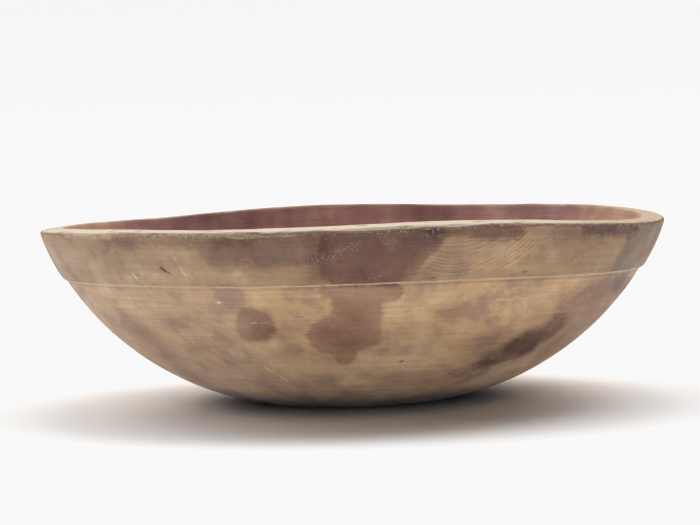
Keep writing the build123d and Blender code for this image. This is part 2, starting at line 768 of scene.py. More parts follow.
def blot_group() -> bpy.types.NodeTree:
    """Makes the distance from one blot, a box with round corners that lies on the wall.

    Returns:
        The group. Outside is how far a point lies outside the blot, in millimetres, below 0 within
        it and no less than the corner's radius below.
    """
    names = ["Turn", "Path", "Centre Turn", "Centre Path", "Mm Per Degree", "Flat Width", "Flat Height"]
    sheet, take, make = new_group("blot", names + ["Lean", "Corner"], ["Outside"])
    away = sheet.math("WRAP", sheet.math("SUBTRACT", take["Turn"], take["Centre Turn"]), 180.0, -180.0)
    around = sheet.product(away, take["Mm Per Degree"])
    up = sheet.math("SUBTRACT", take["Path"], take["Centre Path"])
    back = sheet.product(take["Lean"], -1.0)
    turned = sheet.rotated(sheet.vector(around, up, 0.0), back, "Z")
    flat = sheet.vector(take["Flat Width"], take["Flat Height"], 0.0)
    past = sheet.vector_math("SUBTRACT", sheet.vector_math("ABSOLUTE", turned), flat)
    over = sheet.vector_math("MAXIMUM", past)
    beyond = sheet.add("VectorMath", {0: over}, operation="LENGTH").outputs["Value"]
    sheet.put(make["Outside"], sheet.math("SUBTRACT", beyond, take["Corner"]))
    return sheet.tree


def drawn_out(sheet: Sheet, take: Sockets, length: str, width: str) -> Socket:
    """Gives the place to read a noise at, so that its waves are drawn out round the bowl.

    Args:
        sheet: the sheet of a group.
        take: the sockets to read the group's inputs from, with Place and Path among them.
        length: the name of the input that says how long the waves are round the bowl.
        width: the name of the input that says how wide they are along the section.

    Returns:
        The place.
    """
    x, y, _ = sheet.parts(take["Place"])
    across = sheet.math("DIVIDE", take["Path"], take[width])
    x_share = sheet.math("DIVIDE", x, take[length])
    y_share = sheet.math("DIVIDE", y, take[length])
    return sheet.vector(x_share, y_share, across)


def lathe_group() -> bpy.types.NodeTree:
    """Makes the fine lines that the tool left round the bowl.

    Returns:
        The group. Lines is a number about 0.
    """
    sheet, take, make = new_group("lathe_lines", ["Place", "Path", "Gap", "Run"], ["Lines"])
    lines = sheet.noise(drawn_out(sheet, take, "Run", "Gap"), *Mottle.LINES.value)
    sheet.put(make["Lines"], sheet.about_zero(lines))
    return sheet.tree


def ring_group() -> bpy.types.NodeTree:
    """Makes the wood's growth rings, cut through by the turned surface.

    Returns:
        The group. Bands is a change of tone from year to year, about 0.
    """
    years_along_grain = 0.004
    names = ["Place", "Pith Turn", "Pith Depth", "Year", "Waver"]
    sheet, take, make = new_group("growth_rings", names, ["Bands"])
    along, across, height = sheet.parts(sheet.rotated(take["Place"], take["Pith Turn"], "Z"))
    above = sheet.math("ADD", height, take["Pith Depth"])
    squares = sheet.scaled(across, across, sheet.product(above, above))
    slow = sheet.about_zero(sheet.noise(take["Place"], *Mottle.WAVER.value))
    reach = sheet.scaled(slow, take["Waver"], sheet.math("SQRT", squares))
    years = sheet.math("DIVIDE", reach, take["Year"])
    grain = sheet.product(along, years_along_grain)
    bands = sheet.noise(sheet.vector(years, grain, 0.0), *Mottle.RINGS.value)
    sheet.put(make["Bands"], sheet.about_zero(bands))
    return sheet.tree


def fleck_group() -> bpy.types.NodeTree:
    """Makes short dashes along the turning lines, where grain tore or dirt lodged.

    Returns:
        The group. Mask is 1 on the dashes, and more of them show as Amount grows.
    """
    rarest, border = 0.8, 0.08
    sheet, take, make = new_group("flecks", ["Place", "Path", "Length", "Width", "Amount"], ["Mask"])
    place = drawn_out(sheet, take, "Length", "Width")
    low = sheet.math("SUBTRACT", rarest, take["Amount"])
    dashes = sheet.noise(place, *Mottle.DASHES.value)
    sheet.put(make["Mask"], sheet.remap(dashes, low, sheet.math("ADD", low, border)))
    return sheet.tree


@dataclass(frozen=True)
class Blot:
    """A box with round ends on the wall: place, half sizes and lean, in degrees and millimetres."""

    turn: float
    down: float
    half_width: float
    half_height: float
    lean: float = 0.0
    square: float = 0.0


@dataclass(frozen=True)
class Area:
    """Blots that run together: half the width of their border, in millimetres, and how much it strays."""

    blots: tuple[Blot, ...]
    soft: float
    ragged: float


@dataclass(frozen=True)
class Stain:
    """A stain of one or more blots that run together; its border is given in millimetres."""

    kind: StainKind
    strength: float
    blots: tuple[Blot, ...]
    soft: float = 1.6
    ragged: float = 1.0
    broken: float = 0.3


@dataclass(frozen=True)
class Scratch:
    """A mark in the wood, longer than it is wide, in degrees and millimetres."""

    turn: float
    down: float
    length: float
    width: float
    lean: float
    depth: float = 0.0
    pale: bool = True
    face: Face = Face.OUTSIDE


# Stains, in the order in which they are laid
OUTSIDE_STAINS = [
    Stain(StainKind.ASH, 1.0, (Blot(-55, 70, 110, 75),), 25, 2, 0),
    # Painted shade: a grey-blue tint all round the lower body
    Stain(StainKind.ASH, 1.0, (Blot(0, 145, 700, 34),), 30, 2, 0),
    Stain(StainKind.ASH, 1.0, (Blot(0, 140, 700, 42),), 24, 2, 0),
    # Painted shade: a dark blue-grey ring round the foot, where the floor's shadow lies
    Stain(StainKind.SOOT, 1.0, (Blot(0, 182, 700, 30),), 16, 1, 0),
    Stain(StainKind.PALE, 0.45, (Blot(5, 106, 62, 10),), 8, 1.5, 0.2),
    Stain(StainKind.UMBER, 0.25, (Blot(0, 2, 700, 6),), 5, 1.5, 0.4),
    Stain(StainKind.UMBER, 0.6, (Blot(-32, 5, 56, 4), Blot(44, 5, 30, 7)), 5, 1.5, 0.3),
    Stain(StainKind.UMBER, 0.28, (Blot(44, 16, 50, 16),), 8, 1.5, 0.2),
    Stain(StainKind.MAUVE, 0.4, (Blot(-51, 9, 19, 3.4, 32), Blot(-44.5, 14, 15, 3.2, 36)), 4, 1.5),
    Stain(StainKind.PALE, 0.5, (Blot(-24.6, 26, 14, 4), Blot(-39, 28, 33, 4)), 5, 1.6),
    Stain(StainKind.HONEY, 0.18, (Blot(-11.8, 47.7, 23, 9.5, 0, 0.4), Blot(-6.8, 49.8, 8, 7.5)), 2.2, 0.8),
    Stain(StainKind.PALE, 0.4, (Blot(-15.3, 26.5, 20, 5.5),), 4, 1.2),
    Stain(StainKind.PALE, 0.45, (Blot(31.7, 20.8, 6.4, 15, -41), Blot(37.7, 25, 27, 6)), 5, 1.8),
    Stain(
        StainKind.PALE,
        0.65,
        (Blot(28.4, 62, 3.3, 20, 21), Blot(31.1, 59, 2.7, 15, 23), Blot(33.1, 51.5, 3.1, 13, 38)),
        2.5,
        1.2,
        0.4,
    ),
    Stain(
        StainKind.PALE,
        0.32,
        (Blot(11, 66, 18, 14, -10), Blot(20, 46, 26, 7, -4), Blot(24, 76, 20, 10, 15)),
        8,
        2,
        0.2,
    ),
    Stain(
        StainKind.PALE,
        0.5,
        (Blot(-44.7, 72, 7, 20, 30), Blot(-52, 48, 13, 9), Blot(-24, 84, 18, 6, 20)),
        5,
        1.6,
        0.4,
    ),
    Stain(StainKind.UMBER, 0.35, (Blot(-54, 96, 16, 42, -9),), 10, 2, 0.4),
    Stain(StainKind.MAUVE, 0.6, (Blot(-40.9, 66, 10, 5, 22), Blot(-38, 87.5, 13, 5.4, 15)), 4, 2, 0.6),
    Stain(StainKind.MAUVE, 0.4, (Blot(-42.3, 44, 8, 4, 19), Blot(-25.1, 49, 4.7, 6.9, -40)), 5, 2, 0.6),
    Stain(StainKind.MAUVE, 0.9, (Blot(18.3, 61, 8, 4.5, -12), Blot(8.5, 92, 10, 4)), 4, 2, 0.6),
    Stain(StainKind.UMBER, 0.64, (Blot(60, 66, 42, 24, -18), Blot(62, 88, 24, 30, -12)), 10, 2, 0.3),
    Stain(StainKind.UMBER, 0.5, (Blot(56, 51, 20, 8, 8), Blot(64, 46, 18, 7, -8)), 5, 1.6, 0.3),
    Stain(StainKind.GREY, 0.9, (Blot(66, 18, 34, 20, -8, 0.5), Blot(70, 47, 28, 7.4, -9)), 3.5),
    Stain(StainKind.UMBER, 0.2, (Blot(24, 126, 26, 10, 5), Blot(-3, 142, 48, 10)), 8, 2.2, 0.5),
    Stain(StainKind.UMBER, 0.55, (Blot(-10.6, 9.5, 23, 12), Blot(-19.8, 10.5, 20, 10.5, 7)), 4.5, 1.2, 0.2),
    Stain(StainKind.GREY, 0.5, (Blot(-10.6, 9.5, 22, 11), Blot(-19.8, 10.5, 19, 9.5, 7)), 5, 1.4, 0.3),
    Stain(StainKind.UMBER, 0.3, (Blot(-19, 11, 9, 7, 40), Blot(-12, 25, 22, 10)), 5, 1.5, 0.4),
    Stain(
        StainKind.TANNIN,
        0.69,
        (Blot(1.8, 17, 27, 19, -8, 0.3), Blot(10.6, 13, 10, 21, -37, 0.7)),
        2.6,
        1.3,
        0.15,
    ),
    Stain(
        StainKind.TANNIN,
        0.5,
        (Blot(-0.6, 18, 24, 17, -3, 0.6), Blot(8.8, 13, 8, 19, -37, 0.7)),
        5,
        1.4,
        0.2,
    ),
    Stain(StainKind.TANNIN, 0.8, (Blot(21.2, 4, 30, 4, -1.4), Blot(51.2, 3.5, 32, 5, -1.3)), 3.5, 1.3, 0.2),
    Stain(
        StainKind.TANNIN,
        0.6,
        (
            Blot(1.5, 41, 24, 6, -2.8),
            Blot(0.5, 62, 14.8, 25, 0, 0.2),
            Blot(-4.1, 76, 16, 18, -25),
            Blot(-3.0, 91, 6.5, 11.5, -4),
        ),
        1.8,
    ),
    Stain(StainKind.TANNIN, 0.35, (Blot(-1.7, 72, 8.5, 16, -2), Blot(-5, 76, 11, 10)), 5, 1.4, 0.3),
    Stain(StainKind.TANNIN, 0.55, (Blot(-20.5, 66, 11.3, 15.6, -33),), 1.6, 0.6, 0.4),
    Stain(StainKind.TANNIN, 0.5, (Blot(-19.2, 72, 6.5, 9, -28),), 3.5, 1.4),
    Stain(StainKind.UMBER, 0.3, (Blot(-13.9, 70.4, 10, 4.2),), 4, 1.4),
    Stain(StainKind.UMBER, 0.4, (Blot(39, 96, 36, 22, 12),), 12, 2, 0.4),
    Stain(
        StainKind.DAMP,
        0.78,
        (
            Blot(48.3, 80, 9, 12, 27),
            Blot(45, 88, 12, 11),
            Blot(42.3, 94.5, 18, 14.5),
            Blot(37.5, 105, 13, 10),
        ),
        4.5,
        1.3,
        0.25,
    ),
    Stain(StainKind.TANNIN, 0.62, (Blot(43.2, 93.5, 17, 10),), 5, 1.4, 0.2),
    Stain(StainKind.UMBER, 0.55, (Blot(35, 117, 13, 12, 14), Blot(30, 122, 9, 6)), 4, 2, 0.6),
    Stain(
        StainKind.TANNIN,
        0.55,
        (Blot(115, 14, 26, 9, 9), Blot(122, 23, 17, 11, -20), Blot(127, 46, 9, 19, 14)),
        3,
        2,
        0.4,
    ),
    Stain(StainKind.UMBER, 0.6, (Blot(160, 70, 30, 22, -20), Blot(172, 96, 18, 14)), 4, 2, 0.6),
    Stain(StainKind.HONEY, 0.3, (Blot(145, 52, 40, 14, 10), Blot(-150, 60, 44, 20, -8)), 8, 2),
    Stain(
        StainKind.TANNIN,
        0.6,
        (Blot(-138, 11, 24, 8, -8), Blot(-130, 20, 20, 12, 24), Blot(-127, 41, 8, 15, -12)),
        2.6,
        2,
        0.4,
    ),
    Stain(StainKind.DAMP, 0.7, (Blot(-108, 88, 28, 12, -24), Blot(-98, 104, 12, 9)), 4, 2.2, 0.5),
    Stain(
        StainKind.GREY,
        0.6,
        (
            Blot(-97, 12, 27, 11, 12),
            Blot(-90, 26, 18, 10, -16),
            Blot(176, 9, 27, 6, 5),
            Blot(-178, 18, 9, 11, 30),
        ),
        5,
        2,
        0.4,
    ),
    Stain(StainKind.TANNIN, 0.45, (Blot(95, 76, 10, 14, 24), Blot(99, 84, 9, 6)), 2.4, 1.6, 0.4),
    Stain(StainKind.PALE, 0.5, (Blot(150, 98, 40, 12, 20), Blot(-120, 66, 50, 9, -30)), 6, 2),
]
INSIDE_STAINS = [
    Stain(StainKind.UMBER, 0.6, (Blot(-146, 14, 40, 20), Blot(-135, 34, 18, 26)), 9, 2, 0.5),
    Stain(StainKind.PALE, 0.8, (Blot(-178, 4, 9, 9), Blot(148, 6, 5, 13, 8)), 4, 1.4, 0.5),
    Stain(StainKind.UMBER, 0.6, (Blot(162, 10, 13, 13), Blot(170, 50, 28, 18, 10)), 6, 2, 0.4),
    Stain(StainKind.FADED, 0.9, (Blot(-106, 12, 46, 26), Blot(102, 12, 60, 28)), 20, 2, 0.2),
    Stain(StainKind.UMBER, 0.6, (Blot(30, 60, 56, 24, 6), Blot(60, 96, 32, 16, 30)), 8, 2.4, 0.4),
    Stain(StainKind.TANNIN, 0.4, (Blot(-60, 120, 38, 22, -10), Blot(-36, 140, 22, 14)), 8, 2.6, 0.5),
    Stain(StainKind.HONEY, 0.4, (Blot(100, 170, 44, 32), Blot(-160, 150, 48, 28, 12)), 16, 2.4, 0.4),
    Stain(StainKind.UMBER, 0.5, (Blot(-10, 24, 38, 15), Blot(-80, 40, 28, 32)), 8, 2, 0.5),
    # Painted shade with a browner tone: darkens the inside of the front wall below the rim, where the lamps
    # light it most
    Stain(StainKind.UMBER, 0.4, (Blot(0, 26, 250, 34),), 18, 2, 0.3),
]
# Knocks, scratches and pits
SCUFFED = Area(
    (
        Blot(-6.9, 18.9, 12, 2.4, 30),
        Blot(3.5, 30, 4.6, 2.4),
        Blot(6.7, 7.5, 6.5, 2.2, -43),
        Blot(13.5, 5.5, 7, 2),
        Blot(-26.5, 44, 3, 5, 20),
        Blot(33, 9, 20, 1.5),
        Blot(5.2, 7.5, 3, 9, 38),
        Blot(-2.5, 13, 16, 3, 24),
        Blot(-23, 12, 7, 3, 12),
        Blot(140, 30, 12, 3, 20),
        Blot(-120, 12, 14, 4, -30),
    ),
    2.5,
    0.8,
)
SCRATCHES = [
    Scratch(-35.1, 22.2, 4.4, 2.3, -40, 0.4, pale=False),
    Scratch(-34.4, 23.8, 6.5, 1.2, -36, 0.3, pale=False),
    Scratch(-31.3, 20, 15.0, 0.5, -72),
    Scratch(-21.1, 114, 20.0, 1.1, -62),
    Scratch(-42.5, 28, 4.5, 1.6, -60),
    Scratch(-26.0, 47, 3.2, 1.6, 10),
    Scratch(-20.3, 63, 4.0, 1.4, 8),
    Scratch(13.8, 32.0, 3.0, 1.2, 10, 0.3, pale=False),
    Scratch(10.8, 101.7, 3.4, 1.8, 40, 0.3, pale=False),
    Scratch(31.5, 30.5, 4.0, 1.0, 5, pale=False),
    Scratch(36.7, 38.2, 2.0, 0.8, 0, pale=False),
    Scratch(16.5, 58.7, 4.0, 0.9, 0, pale=False),
    Scratch(120, 70, 26.0, 0.8, 36),
    Scratch(-140, 92, 18.0, 0.8, -48),
    Scratch(165, 26, 9.0, 1.6, 30, 0.4, pale=False),
    Scratch(20, 150, 60.0, 0.7, 35, face=Face.INSIDE),
    Scratch(48, 165, 44.0, 0.7, -25, face=Face.INSIDE),
    Scratch(-110, 140, 52.0, 0.7, 60, face=Face.INSIDE),
    Scratch(-150, 110, 40.0, 0.6, -30, pale=False, face=Face.INSIDE),
    Scratch(150, 120, 48.0, 0.7, 20, face=Face.INSIDE),
]
# Stretches of the rim and of the band that wore in their own ways
YELLOWED_RIM = Area((Blot(-53, 1, 30, 5),), 6.0, 2.5)
WORN_RIM = Area((Blot(-31, 0, 52, 12),), 8.0, 1.0)
TANNED_RIM = Area((Blot(130, 0, 302, 100),), 75.0, 0.0)
CRUMBLED_RIM = Area((Blot(-14.5, 1, 21, 5),), 5.0, 1.5)
SHARP_RIM = Area((Blot(9, 1, 9, 5),), 3.0, 0.5)
SCRUBBED_RIM = Area((Blot(9, 0, 42, 6),), 10.0, 1.0)
SOILED_RIM = Area((Blot(64, 1, 90, 5),), 10.0, 1.5)
FIGURED_BAND = Area((Blot(22.7, 18, 36, 12, 12),), 7.0, 1.5)
FIGURE_MIDDLE = Blot(16.6, -25, 0, 0)


# Finishes: colours are linear, and a span holds what a change starts and ends with
@dataclass(frozen=True)
class OutsideWood:
    """The outside before its stains."""

    tan: Colour = (0.60, 0.38, 0.215)
    sand: Colour = (0.68, 0.468, 0.28)
    clay: Colour = (0.45, 0.282, 0.186)
    clay_to_tan: Span = (0.39, 0.5)
    tan_to_sand: Span = (0.5, 0.61)
    broad_share: float = 0.36
    patch_share: float = 0.5
    ring_share: float = 0.1
    smear_share: float = 0.14
    smear_lean: float = 38.0
    smear_waves: Waves = (0.11, 0.06, 0.025)
    band_tone: float = 0.92
    body_tone: float = 1.24
    # Painted light: the lower body is made lighter, most at the front, in place of low light from the front
    painted_low_light_tone: float = 1.95
    painted_low_light_tone_behind: float = 1.35
    front_to_behind: Span = (75.0, 130.0)
    low_to_body: Span = (-120.0, -40.0)
    body_to_band: Span = (-1.0, 0.0)
    even_tone: float = 0.88
    groove_tone: float = 0.22
    line_tone: float = 0.5
    grain_tone: float = 0.24
    pale_fleck_length: float = 5.0
    pale_fleck_width: float = 0.9
    pale_fleck_cover: Span = (0.35, 0.65)
    pale_fleck_most: float = 0.1
    dark_fleck_length: float = 4.0
    dark_fleck_width: float = 0.8
    dark_fleck_amount: float = 0.07
    dark_fleck_colour: Colour = (0.74, 0.70, 0.68)


@dataclass(frozen=True)
class RingFigure:
    """The pale arcs that growth rings left on the front of the band, in millimetres."""

    colour: Colour = (1.34, 1.37, 1.30)
    gap: float = 2.3
    drift: float = 9.0
    uneven: float = 2.0
    line: Span = (0.06, 0.34)
    broken: Span = (0.36, 0.56)
    faintest: float = 0.3


@dataclass(frozen=True)
class InsideWood:
    """The inside before its stains."""

    red: Colour = (0.55, 0.265, 0.235)
    brown: Colour = (0.42, 0.21, 0.18)
    worn: Colour = (0.64, 0.38, 0.275)
    scraped: Colour = (0.52, 0.34, 0.245)
    starts: Span = (-1.5, 1.0)
    streak_waves: Waves = (0.05, 0.05, 0.012)
    streak_share: float = 0.5
    patch_share: float = 0.6
    brown_to_red: Span = (0.44, 0.58)
    red_to_worn: Span = (0.58, 0.74)
    scraped_down: Span = (45.0, 150.0)
    scraped_tone: Span = (0.4, 0.62)
    scraped_share: Span = (0.35, 0.95)
    ring_tone: float = 0.2
    line_tone: float = 0.35


@dataclass(frozen=True)
class RimWood:
    """The rim's scrubbed top, and how far its outer edge moved where it was scrubbed or worn."""

    cream: Colour = (0.80, 0.65, 0.49)
    tan: Colour = (0.64, 0.48, 0.33)
    soiled: Colour = (0.50, 0.37, 0.26)
    soil: Span = (0.54, 0.72)
    line_tone: float = 0.35
    ragged: float = 0.3
    outer: Span = (0.1, 1.1)
    inner: Span = (-0.4, 1.4)
    scrubbed_shift: float = 1.3
    worn_shift: float = -2.6


@dataclass(frozen=True)
class WornEdge:
    """The rim's worn outer edge: its wood, how far that reaches down, its dirt and its pale chips."""

    plain: Colour = (0.41, 0.265, 0.18)
    dark: Colour = (0.21, 0.135, 0.10)
    yellow: Colour = (0.73, 0.56, 0.35)
    pale: Colour = (0.61, 0.44, 0.30)
    ragged: float = 0.25
    least_reach: float = -0.5
    crumbled_reach: float = 1.6
    yellow_reach: float = 2.4
    worn_reach: float = 3.6
    crumb_reach: float = 2.0
    wear_reach: float = 0.7
    dark_crumbs: Span = (0.56, 0.72)
    pale_crumbs: Span = (0.4, 0.56)
    pale_share: float = 0.9
    yellow_crumbs: Span = (0.42, 0.62)
    yellow_least: float = 0.3
    fade: Span = (-0.4, 0.5)
    yellow_fade: float = -1.4
    top: Span = (0.2, 1.2)
    dirt_patches: Span = (0.42, 0.6)
    dirt_share: Span = (0.15, 0.55)
    grimy_share: float = 0.85
    yellow_clean: float = -0.8
    dirt_below: float = 0.2
    dirt_line: Span = (0.3, 1.0)
    chips: Span = (0.63, 0.7)
    chip_line: Span = (0.8, 1.8)
    chip_share: float = 0.7


@dataclass(frozen=True)
class StepWear:
    """The band's rubbed lower edge and the painted shade in the crease below it."""

    crease_shade: Colour = (0.10, 0.07, 0.06)
    ragged: float = 0.15
    patches: Span = (0.3, 0.55)
    patch_share: Span = (0.5, 1.0)
    line: Span = (0.35, 0.8)
    chip_wear: Span = (0.5, 0.9)
    chip_share: float = 0.5
    chip_line: Span = (1.4, 2.2)
    crease: Span = (0.3, 1.5)
    crease_share: float = 0.18


@dataclass(frozen=True)
class UseMarks:
    """Specks, scuffs and scratches."""

    dark: Colour = (0.54, 0.48, 0.46)
    pale: Colour = (1.5, 1.75, 2.0)
    speck_level: float = 0.73
    scuff_level: float = -0.16
    speck_border: float = 0.08
    speck_share: float = 0.6
    below_rim: Span = (-2.0, -1.0)
    scuff_bare: float = 0.6
    scratch_soft: float = 0.45
    scratch_ragged: float = 0.15
    scratch_faintest: float = 0.6


@dataclass(frozen=True)
class FineRelief:
    """How high the wood's fine relief stands, in millimetres."""

    lines: float = 0.1
    grooves: float = 0.2
    grain: float = 0.06
    worn_grain: float = 0.15


@dataclass(frozen=True)
class OldWood:
    """The bowl's finish: old bare wood, dry, stained and worn, with lengths in millimetres."""

    outside: OutsideWood = OutsideWood()
    figure: RingFigure = RingFigure()
    inside: InsideWood = InsideWood()
    rim: RimWood = RimWood()
    edge: WornEdge = WornEdge()
    step: StepWear = StepWear()
    marks: UseMarks = UseMarks()
    relief: FineRelief = FineRelief()
    bare: Colour = (0.80, 0.63, 0.43)
    tone: float = 0.71
    roughness: float = 0.62
    roughness_spread: float = 0.1
    roughness_change: Span = (0.3, 0.7)
    specular: float = 0.35
    pith_turn: float = -18.0
    pith_depth: float = 4.0
    year: float = 0.95
    waver: float = 5.0
    line_gap: float = 1.5
    line_run: float = 45.0
    groove_gap: float = 4.0
    groove_run: float = 160.0
    merge: float = 4.0
    soak_stray: float = 9.0
    grain_stray: float = 4.0
    feather_stray: float = 5.0
    feather_gap: float = 1.2
    feather_run: float = 8.0
    clouds: Span = (0.36, 0.58)


class WoodSheet(Sheet):
    """The node tree of the bowl's wood."""

    def __init__(self, finish: OldWood, section: TurnedSection, drying: Drying) -> None:
        """Starts a material and finds where each point of the surface lies.

        Args:
            finish: the wood's colours and numbers.
            section: the section that was turned.
            drying: how the wood moved as it dried.
        """
        self.wood = bpy.data.materials.new("turned_wood")
        self.wood.use_nodes = True
        super().__init__(self.wood.node_tree)
        self.finish = finish
        self.section = section
        self.blots, self.lathe = blot_group(), lathe_group()
        self.rings, self.dashes = ring_group(), fleck_group()
        self.point = self.vector_math("DIVIDE", self.add("TexCoord").outputs["Object"], (MM, MM, MM))
        x, y, _ = self.parts(self.point)
        front = self.product(y, -1 / (1 - drying.shrink_across_grain))
        self.turn = self.math("DEGREES", self.math("ARCTAN2", x, front))
        self.path = self.add("Attribute", attribute_name="path").outputs["Fac"]
        self.wear = self.add("Attribute", attribute_name="wear").outputs["Fac"]
        self.lines = self.lathe_lines(finish.line_gap, finish.line_run)
        self.grooves = self.lathe_lines(finish.groove_gap, finish.groove_run)
        self.wobble = self.stray()
        self.cloud = self.mottled(Mottle.CLOUD)
        scrubbed = self.spread(SCRUBBED_RIM)
        past_rim = self.scaled(scrubbed, finish.rim.scrubbed_shift, self.past(Mark.RIM_OUTER))
        self.worn = self.spread(WORN_RIM)
        self.past_rim = self.scaled(self.worn, finish.rim.worn_shift, past_rim)

    def dress(self) -> bpy.types.Material:
        """Fills the material: the outside, the inside, the rim, the edges and the marks of use.

        Returns:
            The material, which reads the mesh's path and wear.
        """
        wood = self.finish
        shader = self.tree.nodes["Principled BSDF"]
        colour = self.stained(self.outside_wood(), OUTSIDE_STAINS, Face.OUTSIDE)
        within = self.remap(self.past(Mark.RIM_INNER), *wood.inside.starts)
        inside = self.stained(self.inside_wood(), INSIDE_STAINS, Face.INSIDE)
        colour = self.step_line(self.rim_edge(self.rim_top(self.blend(colour, inside, within))))
        colour, dug = self.scratched(self.scuffed(colour))
        self.put(shader.inputs["Base Color"], self.shaded(colour, wood.tone))
        smoothest = wood.roughness - wood.roughness_spread
        roughest = wood.roughness + wood.roughness_spread
        roughness = self.remap(self.mottled(Mottle.SOAKED), *wood.roughness_change, smoothest, roughest)
        self.put(shader.inputs["Roughness"], roughness)
        shader.inputs["Specular IOR Level"].default_value = wood.specular
        self.put(shader.inputs["Normal"], self.relief(dug))
        return self.wood

    def mottled(self, kind: Mottle) -> Socket:
        """Reads one of the wood's noises."""
        return self.noise(self.point, *kind.value)

    def streaked(self, place: Value, waves: Waves) -> Socket:
        """Reads a noise in streaks, with so many waves per millimetre along each axis."""
        return self.noise(self.vector_math("MULTIPLY", place, waves), *Mottle.STREAKS.value)

    def past(self, mark: Mark) -> Socket:
        """Gives how far along the section a point lies past a mark, in millimetres."""
        return self.math("SUBTRACT", self.path, self.section.paths[mark])

    def stray(self) -> Socket:
        """Gives how far a stain's border strays, in millimetres: by soaking, by grain and along the lines.

        Returns:
            The distance, about 0.
        """
        wood = self.finish
        soaked = self.scaled(self.mottled(Mottle.SOAKED), wood.soak_stray, -wood.soak_stray / 2)
        grain = self.scaled(self.mottled(Mottle.GRAIN), wood.grain_stray, -wood.grain_stray / 2)
        lines = self.lathe_lines(wood.feather_gap, wood.feather_run)
        return self.math("ADD", soaked, self.scaled(lines, wood.feather_stray, grain))

    def lathe_lines(self, gap: float, run: float) -> Socket:
        """Places the tool's lines at a gap, each about as long as run."""
        values = {"Place": self.point, "Path": self.path, "Gap": gap, "Run": run}
        return self.use(self.lathe, values)["Lines"]

    def flecks(self, length: float, width: float, amount: Value) -> Socket:
        """Places short dashes of a length and a width."""
        values = {"Length": length, "Width": width, "Amount": amount}
        return self.use(self.dashes, {"Place": self.point, "Path": self.path} | values)["Mask"]

    def growth(self) -> Socket:
        """Places the growth rings.

        Returns:
            A change of tone from year to year, about 0.
        """
        wood = self.finish
        values = {
            "Pith Turn": math.radians(wood.pith_turn),
            "Pith Depth": wood.pith_depth,
            "Year": wood.year,
            "Place": self.point,
            "Waver": wood.waver,
        }
        return self.use(self.rings, values)["Bands"]

    def figure(self) -> Socket:
        """Masks the pale arcs that the growth rings leave on the front of the band.

        Returns:
            The mask, 1 on the arcs.
        """
        shape = self.finish.figure
        reach = self.outside_of(FIGURE_MIDDLE, Face.OUTSIDE)
        reach = self.scaled(self.mottled(Mottle.DRIFT), shape.drift, reach)
        years = self.math("DIVIDE", reach, shape.gap)
        uneven = self.noise(self.vector(years, 0.0, 0.0), *Mottle.YEARS.value)
        phase = self.math("FRACT", self.scaled(uneven, shape.uneven, years))
        arcs = self.near(self.about_zero(phase), *shape.line)
        broken = self.remap(self.mottled(Mottle.SOAKED), *shape.broken, shape.faintest, 1.0)
        return self.product(arcs, self.product(broken, self.spread(FIGURED_BAND)))

    def outside_of(self, blot: Blot, face: Face) -> Socket:
        """Gives how far a point lies outside a blot.

        Args:
            blot: the blot.
            face: the face of the wall that it lies on.

        Returns:
            The distance in millimetres, below 0 within the blot.
        """
        paths = self.section.paths
        if face == Face.OUTSIDE:
            path = paths[Mark.RIM_OUTER] - blot.down
        else:
            path = paths[Mark.RIM_INNER] + blot.down
        corner = min(blot.half_width, blot.half_height) * (1 - blot.square)
        values = {
            "Turn": self.turn,
            "Path": self.path,
            "Centre Turn": blot.turn,
            "Centre Path": path,
            "Mm Per Degree": math.radians(self.section.radius_at(path)),
            "Flat Width": blot.half_width - corner,
            "Flat Height": blot.half_height - corner,
            "Lean": math.radians(blot.lean),
            "Corner": corner,
        }
        return self.use(self.blots, values)["Outside"]

    def spread(self, area: Area, face: Face = Face.OUTSIDE) -> Socket:
        """Masks an area.

        Args:
            area: the area.
            face: the face of the wall that it lies on.

        Returns:
            The mask, 1 on the area.
        """
        distance = self.outside_of(area.blots[0], face)
        for blot in area.blots[1:]:
            distance = self.math("SMOOTH_MIN", distance, self.outside_of(blot, face), self.finish.merge)
        border = self.scaled(self.wobble, area.ragged, distance)
        return self.remap(border, -area.soft, area.soft, 1.0, 0.0)

    def stained(self, colour: Socket, stains: list[Stain], face: Face) -> Socket:
        """Lays stains on a colour, in order.

        Args:
            colour: the colour of the clean wood.
            stains: the stains.
            face: the face of the wall that they lie on.

        Returns:
            The stained colour.
        """
        for stain in stains:
            mask = self.spread(Area(stain.blots, stain.soft, stain.ragged), face)
            weakest = (1 - stain.broken) * stain.strength
            uneven = self.remap(self.cloud, *self.finish.clouds, weakest, stain.strength)
            colour = self.blend(colour, stain.kind.value, self.product(mask, uneven), "MULTIPLY")
        return colour

    def outside_wood(self) -> Socket:
        """Colours the outside before its stains: soft patches, smears, rings, turning lines and painted
        light that lightens the lower body.

        Returns:
            The colour.
        """
        wood = self.finish.outside
        tilted = self.rotated(self.point, math.radians(wood.smear_lean), "Y")
        smears = self.streaked(tilted, wood.smear_waves)
        broad = self.mottled(Mottle.BROAD)
        tone = self.scaled(broad, wood.broad_share, self.product(smears, wood.smear_share))
        tone = self.scaled(self.mottled(Mottle.PATCHES), wood.patch_share, tone)
        tone = self.scaled(self.growth(), wood.ring_share, tone)
        colour = self.blend(wood.clay, wood.tan, self.remap(tone, *wood.clay_to_tan))
        colour = self.blend(colour, wood.sand, self.remap(tone, *wood.tan_to_sand))
